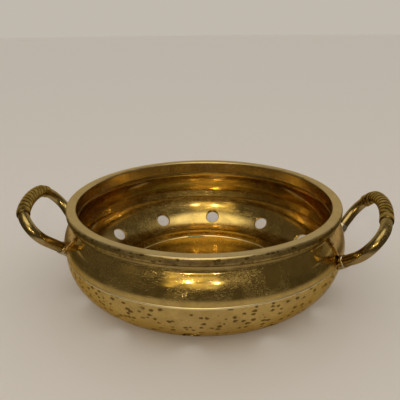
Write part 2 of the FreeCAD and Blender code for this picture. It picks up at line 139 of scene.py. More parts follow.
# %% A finished mesh becomes an object
CREASE = math.radians(32)


def piece_from(bm, name, material=None, creases=True):
    """Makes an object of a bmesh, smooth but for its sharp edges."""
    for face in bm.faces:
        face.smooth = True
    if creases:
        for edge in bm.edges:
            sharp = len(edge.link_faces) == 2 and edge.calc_face_angle() > CREASE
            edge.smooth = not sharp
    mesh = bpy.data.meshes.new(name)
    bm.to_mesh(mesh)
    bm.free()
    piece = bpy.data.objects.new(name, mesh)
    scene.collection.objects.link(piece)
    if material:
        mesh.materials.append(material)
    return piece


def even_shading(piece):
    """Lets large faces set the shading, so that flats stay flat beside their rounded edges."""
    modifier = piece.modifiers.new("even_shading", "WEIGHTED_NORMAL")
    modifier.keep_sharp = True
    modifier.weight = 100


def dress(piece, node):
    """The piece stands for a node of the frame: it hangs under the root body, the node is hidden,
    and how far the piece reaches past the node's box is printed.
    """
    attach(piece, "root")
    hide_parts(node)
    low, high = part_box(node)
    corners = [Vector(corner) for corner in piece.bound_box]
    over = max(max(max(c[i] - high[i], low[i] - c[i]) for i in range(3)) for c in corners)
    print(f"{piece.name}: {len(piece.data.polygons)} faces, {over / MM:.3f} mm past its node's box")


# %% [markdown]
# ## Aged brass
# Old brass is one metal with many small differences: rubbed high places are pale, hollows keep a
# brown film, wiping leaves fine scratches, and polishing leaves rings. A painted image could hold
# all that, but noise in the object's own coordinates needs no image and reaches every side.
# One function mixes them, and each finish sets how much of each it has.

# %% Small helpers for node trees
SCRATCH_WIDTH = 0.014
SCRATCH_PATCH = 7.0


class Wiring:
    """Adds and joins the nodes of one material."""

    def __init__(self, name):
        self.material = bpy.data.materials.new(name)
        self.material.use_nodes = True
        self.tree = self.material.node_tree
        self.shader = self.tree.nodes["Principled BSDF"]
        self.place = self.tree.nodes.new("ShaderNodeTexCoord").outputs["Object"]

    def put(self, socket, value):
        if isinstance(value, bpy.types.NodeSocket):
            self.tree.links.new(value, socket)
        else:
            socket.default_value = value

    def math(self, operation, *values, clamp=False):
        node = self.tree.nodes.new("ShaderNodeMath")
        node.operation = operation
        node.use_clamp = clamp
        for socket, value in zip(node.inputs, values):
            self.put(socket, value)
        return node.outputs[0]

    def ramp(self, value, low, high, to_low=0.0, to_high=1.0):
        """Maps low..high smoothly to a new range."""
        node = self.tree.nodes.new("ShaderNodeMapRange")
        node.interpolation_type = "SMOOTHSTEP"
        for socket, item in zip(node.inputs, (value, low, high, to_low, to_high)):
            self.put(socket, item)
        return node.outputs[0]

    def turned(self, degrees=(0, 0, 0), stretch=(1, 1, 1), place=None):
        """The coordinates, turned and then stretched."""
        node = self.tree.nodes.new("ShaderNodeMapping")
        node.vector_type = "POINT"
        self.put(node.inputs["Vector"], place or self.place)
        node.inputs["Rotation"].default_value = [math.radians(value) for value in degrees]
        scaled = self.tree.nodes.new("ShaderNodeMapping")
        self.put(scaled.inputs["Vector"], node.outputs[0])
        scaled.inputs["Scale"].default_value = stretch
        return scaled.outputs[0]

    def noise(self, size, detail=2.0, rough=0.5, place=None):
        """Cloudy noise whose blobs are about a size across, in millimetres."""
        node = self.tree.nodes.new("ShaderNodeTexNoise")
        self.put(node.inputs["Vector"], place or self.place)
        node.inputs["Scale"].default_value = 1 / (size * MM)
        node.inputs["Detail"].default_value = detail
        node.inputs["Roughness"].default_value = rough
        return node.outputs["Fac"]

    def mix(self, share, first, second):
        node = self.tree.nodes.new("ShaderNodeMix")
        node.data_type = "RGBA"
        self.put(node.inputs["Factor"], share)
        for socket, value in ((node.inputs["A"], first), (node.inputs["B"], second)):
            self.put(socket, (*value, 1) if isinstance(value, tuple) else value)
        return node.outputs["Result"]

    def split(self):
        """The x, y and z of the coordinates."""
        node = self.tree.nodes.new("ShaderNodeSeparateXYZ")
        self.put(node.inputs[0], self.place)
        return node.outputs

    def attribute(self, name):
        node = self.tree.nodes.new("ShaderNodeAttribute")
        node.attribute_name = name
        return node.outputs["Fac"]

    def bump(self, height, depth, below=None):
        """Raises the surface by a height of 0 to 1 times a depth in millimetres."""
        node = self.tree.nodes.new("ShaderNodeBump")
        node.inputs["Distance"].default_value = depth * MM
        self.put(node.inputs["Height"], height)
        if below:
            self.put(node.inputs["Normal"], below)
        return node.outputs[0]

    def radius(self):
        """The distance from the bowl's axis."""
        x, y, _ = self.split()
        return self.math("SQRT", self.math("MULTIPLY_ADD", x, x, self.math("MULTIPLY", y, y)))

    def near(self, value, middle, reach):
        """1 where a value is at the middle, 0 from a reach away."""
        away = self.math("ABSOLUTE", self.math("SUBTRACT", value, middle))
        return self.ramp(away, reach * 0.3, reach, 1.0, 0.0)

    def scratches(self, directions, spacing, length, share):
        """Fine straight scratches: noise drawn out along a few directions, then cut thin. The
        spacing and length are in millimetres, and the share is of the surface."""
        total = None
        for degrees in directions:
            drawn = self.turned(degrees, (1 / length, 1 / spacing, 1 / spacing))
            node = self.tree.nodes.new("ShaderNodeTexNoise")
            self.put(node.inputs["Vector"], drawn)
            node.inputs["Scale"].default_value = 1 / MM
            node.inputs["Detail"].default_value = 0.0
            away = self.math("ABSOLUTE", self.math("SUBTRACT", node.outputs["Fac"], 0.5))
            line = self.ramp(away, 0.0, SCRATCH_WIDTH, 1.0, 0.0)
            patch = self.noise(SCRATCH_PATCH + degrees[2] / 20, 1.0, place=self.turned(degrees))
            line = self.math("MULTIPLY", line, self.ramp(patch, 1 - share, 1.08 - share))
            total = line if total is None else self.math("MAXIMUM", total, line)
        return total


# %% Colours of old brass
BRIGHT = (0.78, 0.59, 0.26)
PLAIN = (0.60, 0.43, 0.145)
FILM_AND_SPOT_REFLECTION = (0.22, 0.135, 0.040)
# Brown for painted reflected spots.
REFLECTED_SPOT = (0.13, 0.075, 0.025)
# Grime is also laid as painted shade, in the joints and on the rim's face.
GRIME_AND_SHADE = (0.050, 0.032, 0.013)
EDGE = (0.80, 0.65, 0.40)
SCRATCHES = ((0, 0, 20), (0, 0, 75), (35, 0, 140), (-60, 20, 5), (20, 50, 110))
print("clean brass, brown film and grime:", PLAIN, FILM_AND_SPOT_REFLECTION, GRIME_AND_SHADE)


# %% The finish that every piece shares
def aged_brass(name, film, shine, plain=PLAIN, bright=BRIGHT, layers=(), rings=0.0, lumps=0.0,
               scuffs=0.45):
    """Brass with a share of brown film and a roughness. Each layer is laid over it in turn: a
    colour, the roughness it adds, and a function that gives its mask. Rings and lumps are
    heights in millimetres."""
    w = Wiring(name)
    cloud = w.noise(size=17.0, detail=4.0, rough=0.6)
    fine = w.noise(size=2.6, detail=3.0, rough=0.6)
    stain = w.ramp(w.math("MULTIPLY_ADD", fine, 0.35, w.math("MULTIPLY", cloud, 0.65)), 0.36, 0.64)
    share = w.math("MULTIPLY", stain, film, clamp=True)
    colour = w.mix(share, plain, FILM_AND_SPOT_REFLECTION)
    colour = w.mix(w.ramp(cloud, 0.5, 0.72, 0.0, 0.4), colour, bright)
    roughness = w.math("MULTIPLY_ADD", share, 0.12, shine)
    roughness = w.math("MULTIPLY_ADD", w.noise(5.0, 3.0, 0.65), 0.06, roughness)
    lines = w.scratches(SCRATCHES, spacing=0.45, length=26.0, share=scuffs)
    colour = w.mix(w.math("MULTIPLY", lines, 0.6), colour, bright)
    roughness = w.math("MULTIPLY_ADD", lines, 0.28, roughness)
    for paint, rough, mask in layers:
        laid = mask(w)
        colour = w.mix(laid, colour, paint)
        roughness = w.math("MULTIPLY_ADD", laid, rough, roughness)
    w.put(w.shader.inputs["Base Color"], colour)
    w.put(w.shader.inputs["Roughness"], w.math("MINIMUM", roughness, 0.9))
    w.shader.inputs["Metallic"].default_value = 1.0
    w.shader.inputs["Specular Tint"].default_value = (*EDGE, 1)
    normal = w.bump(w.noise(size=11.0, detail=1.0), depth=0.05)
    normal = w.bump(w.noise(size=0.9, detail=3.0, rough=0.7), depth=0.004, below=normal)
    normal = w.bump(w.math("SUBTRACT", 1.0, lines), depth=0.012, below=normal)
    if rings:
        joined = w.tree.nodes.new("ShaderNodeCombineXYZ")
        w.put(joined.inputs[0], w.radius())
        w.put(joined.inputs[2], w.split()[2])
        normal = w.bump(w.noise(0.8, 2.0, 0.6, joined.outputs[0]), rings, normal)
    if lumps:
        normal = w.bump(w.noise(1.4, 1.0), lumps, normal)
    w.put(w.shader.inputs["Normal"], normal)
    return w.material


# %% Masks that several finishes share
SPOT_FLATNESS = 1.6
SPOT_EDGE = (0.52, 0.62)
CROWDING_FROM, CROWDING_FULL = 14 * MM, 34 * MM
JOINT_DARK_CORE, JOINT_DARK_REACH = 0.25 * MM, 0.9 * MM
JOINT_DARK_MOST = 0.85


def reflected_spots(w, size, cover):
    """Painted reflection of a holed cloth: small brown spots, wider than they are high, in loose
    clusters that crowd towards the left and right. The size is that of the cell that each spot
    lies in, in millimetres."""
    cells = w.tree.nodes.new("ShaderNodeTexVoronoi")
    w.put(cells.inputs["Vector"], w.turned(stretch=(1, 1, SPOT_FLATNESS)))
    cells.inputs["Scale"].default_value = 1 / (size * MM)
    cells.inputs["Randomness"].default_value = 0.75
    away = w.math("MULTIPLY_ADD", w.noise(0.9, 2.0), 0.5, cells.outputs["Distance"])
    spot = w.ramp(away, *SPOT_EDGE, 1.0, 0.0)
    sideways = w.math("ABSOLUTE", w.split()[0])
    aside = w.ramp(sideways, CROWDING_FROM, CROWDING_FULL, 0.0, 0.22)
    cluster = w.math("ADD", w.noise(7.0, 1.0), aside)
    return w.math("MULTIPLY", spot, w.ramp(cluster, 1.0 - cover, 1.08 - cover))


def joint_dirt_and_shade(joints):
    """Dark lines along joints: dirt, and painted shade below an overhanging step. Each joint is
    given by its height and the radii that it lies between.
    """
    def mask(w):
        z = w.split()[2]
        radius = w.radius()
        wander = w.noise(2.0, 2.0)
        total = None
        for height, inner, outer in joints:
            away = w.math("ABSOLUTE", w.math("SUBTRACT", z, height))
            away = w.math("MULTIPLY_ADD", wander, 0.7 * MM, away)
            line = w.ramp(away, JOINT_DARK_CORE, JOINT_DARK_REACH, JOINT_DARK_MOST, 0.0)
            line = w.math("MULTIPLY", line, w.math("GREATER_THAN", radius, inner))
            line = w.math("MULTIPLY", line, w.math("LESS_THAN", radius, outer))
            total = line if total is None else w.math("MAXIMUM", total, line)
        return total
    return mask


# %% [markdown]
# ## The rim ring
# On the real burner a flat ring with a short neck is brazed on the mouth. It could be a torus cut
# flat or a Screw curve. Its section is drawn here with a true arc at each worn edge, the lower lip
# much rounder than the top, and turned.

# %% Where the rim is rubbed and filmed, with a painted dark reflection on its face and painted reflected spots
RIM_PALE = (0.67, 0.54, 0.30)


def top_rub(w):
    """The flat top is rubbed pale, less so in patches."""
    height = w.ramp(w.split()[2], RIM_TOP - 0.9 * MM, RIM_TOP - 0.2 * MM)
    return w.math("MULTIPLY", height, w.ramp(w.noise(6.0, 3.0, 0.6), 0.3, 0.6, 0.55, 0.9))


def face_film_and_dark_reflection(w):
    """The outer face and its lip keep a brown film, laid on heavier as a painted dark
    reflection of the shaded ground in front.
    """
    low = w.ramp(w.split()[2], RIM_TOP - 1.4 * MM, RIM_TOP - 0.7 * MM, 1.0, 0.0)
    outer = w.ramp(w.radius(), MOUTH_RADIUS + 1.5 * MM, MOUTH_RADIUS + 2.5 * MM)
    patchy = w.ramp(w.noise(4.0, 3.0, 0.6), 0.35, 0.65, 0.30, 0.60)
    return w.math("MULTIPLY", w.math("MULTIPLY", low, outer), patchy)


# Painted reflection: brown spots on the rim's outer face.
def face_reflected_spots(w):
    outer = w.ramp(w.radius(), RIM_RADIUS - 0.5 * MM, RIM_RADIUS - 0.1 * MM, 0.0, 0.8)
    return w.math("MULTIPLY", reflected_spots(w, size=2.3, cover=0.62), outer)


rim_finish = aged_brass(
    "rim_brass", film=0.55, shine=0.17, bright=RIM_PALE, rings=0.004,
    layers=(
        (RIM_PALE, 0.13, top_rub),
        (GRIME_AND_SHADE, 0.10, face_film_and_dark_reflection),
        (REFLECTED_SPOT, 0.10, face_reflected_spots),
        (GRIME_AND_SHADE, 0.30, joint_dirt_and_shade([(NECK_HEIGHT, 0, NECK_RADIUS + 0.2 * MM)])),
    ),
)
print("rim finish:", len(rim_finish.node_tree.nodes), "nodes")

# %% Turn the rim ring
RIM_TOP_ROUND = 0.8 * MM
RIM_LIP_ROUND = 1.5 * MM
JOINT_ROUND = 0.18 * MM

rim = Outline(MOUTH_RADIUS, NECK_HEIGHT + JOINT_ROUND)
rim.line(MOUTH_RADIUS, RIM_TOP - RIM_TOP_ROUND, 4)
rim.arc(MOUTH_RADIUS + RIM_TOP_ROUND, RIM_TOP - RIM_TOP_ROUND, -90, 8)
rim.line(RIM_RADIUS - RIM_TOP_ROUND, RIM_TOP, 3)
rim.arc(RIM_RADIUS - RIM_TOP_ROUND, RIM_TOP - RIM_TOP_ROUND, -90, 8)
rim.line(RIM_RADIUS, RIM_UNDERSIDE + RIM_LIP_ROUND, 3)
rim.arc(RIM_RADIUS - RIM_LIP_ROUND, RIM_UNDERSIDE + RIM_LIP_ROUND, -90, 12)
rim.line(NECK_RADIUS, RIM_UNDERSIDE)
rim.line(NECK_RADIUS, NECK_HEIGHT, 2)
rim.line(MOUTH_RADIUS + JOINT_ROUND, NECK_HEIGHT, 2)
rim.close()
rim_ring = piece_from(rim.turn(), "rim_ring_turned", rim_finish)
even_shading(rim_ring)
dress(rim_ring, "rim_ring")

# %% [markdown]
# ## The shoulder collar
# The upper wall bulges out from the seam, sweeps in through a cove and ends in a tongue lapped inside
# the pan. Its S bend could be a Bezier curve, but two arcs that meet in line are what a spinner's
# tool leaves, and the same two, moved in by the sheet, make the inside.

# %% Sizes and finish of the collar
BEND_SUM = SHOULDER + COVE
BEND = math.degrees(math.acos((BEND_SUM - COLLAR_RADIUS + NECK_RADIUS) / BEND_SUM))
SHOULDER_CENTRE = (COLLAR_RADIUS - SHOULDER, SEAM_HEIGHT)
COVE_CENTRE = (NECK_RADIUS + COVE, NECK_HEIGHT)
TONGUE_RADIUS = BELLY_RADIUS - WALL - BRAZE_GAP
# The arc of the inner cove stops this many degrees short, beside the worn joint.
JOINT_SWING = 1.6
print(f"each bend of the collar turns {BEND:.1f} degrees")

collar_finish = aged_brass(
    "collar_brass", film=0.45, shine=0.06, rings=0.0025, scuffs=0.5,
    layers=((GRIME_AND_SHADE, 0.30, joint_dirt_and_shade([
        (NECK_HEIGHT, 0, MOUTH_RADIUS + 0.4 * MM),
        (SEAM_HEIGHT, 0, TONGUE_RADIUS - 0.4 * MM),
        (TONGUE_END, 0, TONGUE_RADIUS - 0.2 * MM),
    ])),),
)

# %% Turn the collar
collar = Outline(TONGUE_RADIUS - LAP_SHEET, TONGUE_END)
collar.line(TONGUE_RADIUS, TONGUE_END)
collar.line(TONGUE_RADIUS, SEAM_HEIGHT, 2)
collar.line(COLLAR_RADIUS, SEAM_HEIGHT, 2)
collar.arc(*SHOULDER_CENTRE, BEND, 28)
collar.arc(*COVE_CENTRE, -BEND, 14)
collar.line(MOUTH_RADIUS + JOINT_ROUND, NECK_HEIGHT, 2)
collar.line(MOUTH_RADIUS, NECK_HEIGHT - JOINT_ROUND)
collar.arc(*COVE_CENTRE, BEND - JOINT_SWING, 14)
collar.arc(*SHOULDER_CENTRE, -BEND, 28)
collar.close()
shoulder_collar = piece_from(collar.turn(), "shoulder_collar_spun", collar_finish)
even_shading(shoulder_collar)
dress(shoulder_collar, "shoulder_collar")

# %% [markdown]
# ## The pan
# The lower bowl is one spun sheet: flat base, round corner, short band. It is turned like the others,
# from a point on the axis to a point on the axis, so the two poles close by themselves. The thin
# turned line on its floor is three points of the outline.

# %% Sizes of the pan
BASE_RADIUS = BELLY_RADIUS - PAN_CORNER
RING_LINE_RADIUS = BASE_RADIUS - 3.6 * MM
RING_LINE_HALF = 0.4 * MM
RING_LINE_DEPTH = 0.35 * MM
INNER_RADIUS = BELLY_RADIUS - WALL
LIP_ROUND = 0.35 * MM
print(f"the flat base is {2 * BASE_RADIUS / MM:.1f} mm across")


# %% Where the pan is rubbed and green, with painted reflected spots and a painted highlight on its lip
SMEAR_MIDDLE = -7.4 * MM
SMEAR_HALF_LENGTH, SMEAR_HALF_WIDTH = 5.6 * MM, 1.5 * MM


def pan_depth(w):
    """The distance from the middle of the corner's arc: the corner's radius on the outside."""
    out = w.math("MAXIMUM", w.math("SUBTRACT", w.radius(), BASE_RADIUS), 0.0)
    down = w.math("MINIMUM", w.math("SUBTRACT", w.split()[2], PAN_CORNER), 0.0)
    return w.math("SQRT", w.math("MULTIPLY_ADD", out, out, w.math("MULTIPLY", down, down)))


# Painted reflection: brown spots on the outside of the pan's corner.
def outside_reflected_spots(w):
    outside = w.ramp(pan_depth(w), PAN_CORNER - 0.9 * MM, PAN_CORNER - 0.4 * MM, 0.0, 0.9)
    return w.math("MULTIPLY", reflected_spots(w, size=2.8, cover=0.64), outside)


def lip_rub_and_highlight(w):
    """The lip of the seam and the turned line on the floor are rubbed bright, and the pale
    line along the lip is also a painted highlight.
    """
    lip = w.ramp(w.split()[2], SEAM_HEIGHT - 0.75 * MM, SEAM_HEIGHT - 0.45 * MM, 0.0, 0.95)
    ring = w.near(w.radius(), RING_LINE_RADIUS, 0.7 * MM)
    return w.math("MAXIMUM", lip, w.math("MULTIPLY", ring, 0.8))


def verdigris(w):
    """One pale green smear along the turned line."""
    x, y, z = w.split()
    along = w.math("DIVIDE", w.math("SUBTRACT", x, SMEAR_MIDDLE), SMEAR_HALF_LENGTH)
    across = w.math("SUBTRACT", w.radius(), RING_LINE_RADIUS - 0.3 * MM)
    across = w.math("DIVIDE", across, SMEAR_HALF_WIDTH)
    away = w.math("MULTIPLY_ADD", along, along, w.math("MULTIPLY", across, across))
    away = w.math("MULTIPLY_ADD", w.noise(1.6, 3.0, 0.6), 1.2, away)
    smear = w.math("MULTIPLY", w.ramp(away, 0.7, 1.6, 0.85, 0.0), w.math("GREATER_THAN", y, 0.0))
    return w.math("MULTIPLY", smear, w.math("GREATER_THAN", z, 0.5 * MM))


# %% Turn the pan
# Pale brass for rubbed lines, also used as a painted highlight along the seam's lip.
RUBBED_AND_HIGHLIGHT = (0.90, 0.76, 0.46)
VERDIGRIS = (0.32, 0.46, 0.32)
pan_finish = aged_brass(
    "pan_brass", film=0.42, shine=0.09, rings=0.003, scuffs=0.5,
    layers=(
        (REFLECTED_SPOT, 0.10, outside_reflected_spots),
        (RUBBED_AND_HIGHLIGHT, 0.22, lip_rub_and_highlight),
        (VERDIGRIS, 0.5, verdigris),
        # Painted shade: a dark band on the pan's inside, just below the tongue's end.
        (GRIME_AND_SHADE, 0.30, joint_dirt_and_shade([(TONGUE_END, 0, INNER_RADIUS + 0.3 * MM)])),
    ),
)

pan = Outline(0, 0)
pan.line(BASE_RADIUS, 0, 5)
pan.arc(BASE_RADIUS, PAN_CORNER, 90, 36)
pan.line(BELLY_RADIUS, SEAM_HEIGHT - LIP_ROUND, 2)
pan.arc(BELLY_RADIUS - LIP_ROUND, SEAM_HEIGHT - LIP_ROUND, 90, 4)
pan.line(INNER_RADIUS, SEAM_HEIGHT)
pan.line(INNER_RADIUS, PAN_CORNER, 2)
pan.arc(BASE_RADIUS, PAN_CORNER, -90, 34)
pan.line(RING_LINE_RADIUS + RING_LINE_HALF, WALL, 2)
pan.line(RING_LINE_RADIUS, WALL - RING_LINE_DEPTH, 2)
pan.line(RING_LINE_RADIUS - RING_LINE_HALF, WALL, 2)
pan.line(0, WALL, 6)
lower_bowl = piece_from(pan.turn(), "lower_bowl_spun", pan_finish)

# %% [markdown]
# ## The vents
# Twelve holes are drilled square to the round corner. They could be modelled into the mesh by hand,
# but a drill is what makes them, so a drill-shaped cutter is turned, set round the pan and taken
# away with a Boolean. The cutter flares at both faces, as a countersunk edge does.

# %% Cut one mesh with another
def carve(piece, cutter):
    """Takes the cutter out of the piece, makes that and every modifier before it real, and
    throws the cutter away."""
    modifier = piece.modifiers.new("carve", "BOOLEAN")
    modifier.operation = "DIFFERENCE"
    modifier.solver = "EXACT"
    modifier.object = cutter
    bpy.context.view_layer.update()
    graph = bpy.context.evaluated_depsgraph_get()
    cut = bpy.data.meshes.new_from_object(piece.evaluated_get(graph))
    piece.modifiers.clear()
    old = piece.data
    piece.data = cut
    bpy.data.meshes.remove(old)
    bpy.data.objects.remove(cutter)


# %% Drill the vents
VENT_COUNT = 12
VENT_RADIUS = 3.1 * MM
VENT_SLOPE = math.radians(46)
VENT_EDGE = 0.4 * MM
INNER_CORNER = PAN_CORNER - WALL

drill = Outline(0, INNER_CORNER - 2 * WALL)
drill.line(VENT_RADIUS + VENT_EDGE + WALL, INNER_CORNER - 2 * WALL)
drill.line(VENT_RADIUS + VENT_EDGE, INNER_CORNER - 0.2 * MM)
drill.line(VENT_RADIUS, INNER_CORNER + 0.25 * MM, 2)
drill.line(VENT_RADIUS, PAN_CORNER - 0.3 * MM, 2)
drill.line(VENT_RADIUS + VENT_EDGE, PAN_CORNER + 0.1 * MM, 2)
drill.line(VENT_RADIUS + VENT_EDGE, PAN_CORNER + WALL)
drill.line(0, PAN_CORNER + WALL)
drills = drill.turn(48)
down_the_corner = (
    Matrix.Translation((0, BASE_RADIUS, PAN_CORNER))
    @ Matrix.Rotation(-math.pi / 2 - VENT_SLOPE, 4, "X")
)
bmesh.ops.transform(drills, matrix=down_the_corner, verts=drills.verts)
bmesh.ops.spin(
    drills, geom=drills.faces[:], cent=(0, 0, 0), axis=Z_AXIS, steps=VENT_COUNT - 1,
    angle=math.tau * (VENT_COUNT - 1) / VENT_COUNT, use_duplicate=True,
)
carve(lower_bowl, piece_from(drills, "drills"))
print("pan with", VENT_COUNT, "vents:", len(lower_bowl.data.polygons), "faces")


# %% [markdown]
# The Boolean leaves long thin faces round each hole, and on polished metal they would show as
# creases. The spun surface is known exactly, so each corner of each face is given its true normal.

# %% True normals for the spun surface
def true_normals(mesh):
    """Sets each face corner's normal from the pan's outline, where the face lies on it."""
    normals = [(0, 0, 0)] * len(mesh.loops)
    for face in mesh.polygons:
        for loop in face.loop_indices:
            spot = mesh.vertices[mesh.loops[loop].vertex_index].co
            out = Vector((spot.x, spot.y, 0)).normalized()
            radius = Vector((spot.x, spot.y)).length
            around = out * (radius - BASE_RADIUS) + Z_AXIS * (spot.z - PAN_CORNER)
            in_corner = radius > BASE_RADIUS - 0.01 * MM and spot.z < PAN_CORNER + 0.01 * MM
            choices = [around.normalized(), -around.normalized()] if in_corner else [out, -out]
            choices += [Z_AXIS, -Z_AXIS]
            best = max(choices, key=lambda choice: choice.dot(face.normal))
            if best.dot(face.normal) > math.cos(math.radians(6)):
                normals[loop] = tuple(best)
    mesh.normals_split_custom_set(normals)


true_normals(lower_bowl.data)
dress(lower_bowl, "lower_bowl")

# %% [markdown]
# ## The handles
# Each handle is a rod bent into a loop in a sloping plane: two legs, two tight corners and a gently
# bowed middle. A Bezier curve with a round bevel would do, but its bends only come near an arc.
# Here a ring of edges is pushed along the same lines and arcs that the bending jig gives.

# %% Sizes of the handles
HANDLE_TURN = 8.2
HANDLE_SLOPE = math.radians(49)
HANDLE_SEAT = COLLAR_RADIUS - 0.3 * MM
ROOT_HEIGHT = SEAM_HEIGHT + 0.96 * MM
LOOP_REACH = 21.8 * MM
LOOP_CORNER = 9.0 * MM
BOW = 60.0 * MM
ROD_RADIUS = 2.1 * MM
GRIP_RADIUS = 2.55 * MM
ROD_SEAT = 0.8 * MM
FOOT_STAND = 1.6 * MM
FOOT_RADIUS = 2.45 * MM
RIGHT_GRIP_FRONT = 12.0 * MM
LEFT_GRIP_START = math.radians(18)
HANDLES = {
    # side: (azimuth, rear sign, foot spread, loop spread, degrees of the rear corner in the grip)
    "right": (-HANDLE_TURN, 1, 15.6 * MM, 22.0 * MM, 57),
    "left": (180 + HANDLE_TURN, -1, 12.6 * MM, 18.5 * MM, 36),
}


# %% The path of one loop
class Loop:
    """The lines and arcs of a loop's centreline, in its own plane, from leg to leg."""

    def __init__(self, side):
        azimuth, self.rear, self.spread, widest, grip_end = HANDLES[side]
        self.azimuth = math.radians(azimuth)
        across = widest - LOOP_CORNER
        slack = self.spread - across
        out = LOOP_REACH - BOW + math.sqrt((BOW - LOOP_CORNER) ** 2 - across ** 2)
        reach = math.hypot(out, slack)
        self.slope = math.asin(LOOP_CORNER / reach) - math.atan(slack / out)
        self.leg = math.sqrt(reach ** 2 - LOOP_CORNER ** 2) - ROD_SEAT
        self.half_bow = math.asin(across / (BOW - LOOP_CORNER))
        self.corner = math.pi / 2 - self.half_bow + self.slope
        self.start = Vector((ROD_SEAT * math.cos(self.slope),
                             -self.spread - ROD_SEAT * math.sin(self.slope), 0))
        turn = Matrix.Rotation(self.azimuth, 4, "Z") @ Matrix.Rotation(-HANDLE_SLOPE, 4, "Y")
        seat = (HANDLE_SEAT * math.cos(self.azimuth), HANDLE_SEAT * math.sin(self.azimuth), ROOT_HEIGHT)
        self.place = Matrix.Translation(seat) @ turn
        middle = sum(length for length, _ in self.stretches()) / 2
        bow_end = self.half_bow * BOW
        if side == "right":
            front = BOW * math.asin(RIGHT_GRIP_FRONT / BOW)
        else:
            front = bow_end + LEFT_GRIP_START * LOOP_CORNER
        back = bow_end + math.radians(grip_end) * LOOP_CORNER
        self.grip = (middle - self.rear * front, middle + self.rear * back)

    def stretches(self):
        """(length, radius) of each stretch, with radius 0 for a straight one."""
        corner = (self.corner * LOOP_CORNER, LOOP_CORNER)
        return [(self.leg, 0), corner, (2 * self.half_bow * BOW, BOW), corner, (self.leg, 0)]

    def at(self, distance):
        """The point and heading at a distance along the loop."""
        point, heading = self.start.copy(), -self.slope
        for length, radius in self.stretches():
            part = min(distance, length)
            ahead = Vector((math.cos(heading), math.sin(heading), 0))
            if radius:
                left = Vector((-ahead.y, ahead.x, 0))
                swing = part / radius
                point = point + left * radius + Matrix.Rotation(swing, 3, "Z") @ (-left * radius)
                heading += swing
            else:
                point = point + ahead * part
            distance -= part
            if distance <= 0:
                break
        return point, heading

    def pose(self, distance):
        """The matrix that carries a ring about the X axis to a distance along the loop."""
        point, heading = self.at(distance)
        return Matrix.Translation(point) @ Matrix.Rotation(heading, 4, "Z")


# %% Push a ring of edges along a loop
def new_ring(bm, radius, sides):
    """A ring about the X axis."""
    made = bmesh.ops.create_circle(
        bm, segments=sides, radius=radius, matrix=Matrix.Rotation(math.pi / 2, 4, "Y"),
    )
    return made["verts"], list({edge for vert in made["verts"] for edge in vert.link_edges})


def push_along(bm, loop, radius, sides, distances, cap=True):
    """Extrudes a ring from distance to distance and returns its rings, each a list of vertices."""
    verts, edges = new_ring(bm, radius, sides)
    bmesh.ops.transform(bm, matrix=loop.pose(distances[0]), verts=verts)
    rings = [verts]
    for before, after in zip(distances, distances[1:]):
        made = bmesh.ops.extrude_edge_only(bm, edges=edges)["geom"]
        verts = [item for item in made if isinstance(item, bmesh.types.BMVert)]
        fresh = set(verts)
        edges = [e for vert in verts for e in vert.link_edges if set(e.verts) <= fresh]
        edges = list(dict.fromkeys(edges))
        step = loop.pose(after) @ loop.pose(before).inverted()
        bmesh.ops.transform(bm, matrix=step, verts=verts)
        rings.append(verts)
    if cap:
        bmesh.ops.holes_fill(bm, edges=bm.edges, sides=0)
    return rings


def spaced(start, end, step):
    """Even distances from start to end, about a step apart."""
    count = max(1, round(abs(end - start) / step))
    return [start + (end - start) * n / count for n in range(count + 1)]


# %% Bend the rods
def handle_darker_low(w):
    """Darker low down, where the rods meet the bowl."""
    z = w.split()[2]
    height = w.math("MULTIPLY_ADD", w.noise(3.0, 2.0), 4.0 * MM, z)
    return w.ramp(height, ROOT_HEIGHT + 1.0 * MM, ROOT_HEIGHT + 6.0 * MM, 0.5, 0.0)


FITTING = (0.43, 0.325, 0.14)
FITTING_BRIGHT = (0.62, 0.49, 0.24)
rod_finish = aged_brass(
    "rod_brass", film=0.75, shine=0.12, plain=FITTING, bright=FITTING_BRIGHT,
    layers=((GRIME_AND_SHADE, 0.30, handle_darker_low),),
)
loops = {side: Loop(side) for side in HANDLES}
for side, loop in loops.items():
    rod_bm = bmesh.new()
    length = sum(stretch for stretch, _ in loop.stretches())
    push_along(rod_bm, loop, ROD_RADIUS, 40, spaced(0, length, 0.6 * MM))
    bmesh.ops.transform(rod_bm, matrix=loop.place, verts=rod_bm.verts)
    bmesh.ops.recalc_face_normals(rod_bm, faces=rod_bm.faces)
    rod = piece_from(rod_bm, f"{side}_handle_rod_bent", rod_finish)
    dress(rod, f"{side}_handle_rod")
    print(f"{side} rod: {length / MM:.1f} mm long")

# %% [markdown]
# ## The rope grips
# A sleeve with a chased rope pattern covers the outer stretch of each loop, and ends in a plain bead.
# The twist could be a bump in the material, but its ridges break the outline, so they are cut in
# the mesh: each vertex knows how far along and how far round it is, and moves in by the groove
# there. The same number is kept as an attribute, and the finish puts the dark film in the grooves.
# The ridges wander a little, as hand work does, and those on the left are worn shallower.

# %% Sizes of the rope
ROPE_PITCH = 2.8 * MM
ROPE_STARTS = 3
ROPE_DEPTH = 0.32 * MM
ROPE_WEAR = {"right": 1.0, "left": 0.6}
BEAD = 3.3 * MM
COLLAR_END = 0.9 * MM
GRIP_BORE = ROD_RADIUS + 0.1 * MM
GRIP_SIDES = 60
GRIP_STEP = 0.15 * MM
END_ROUND = 0.4 * MM
LONG_WANDER, SHORT_WANDER = 2.9 * MM, 1.1 * MM
GROOVE_WIDTH = 0.55
print(f"the rope's ridges are {ROPE_PITCH / MM:.1f} mm apart and up to {ROPE_DEPTH / MM:.2f} mm deep")


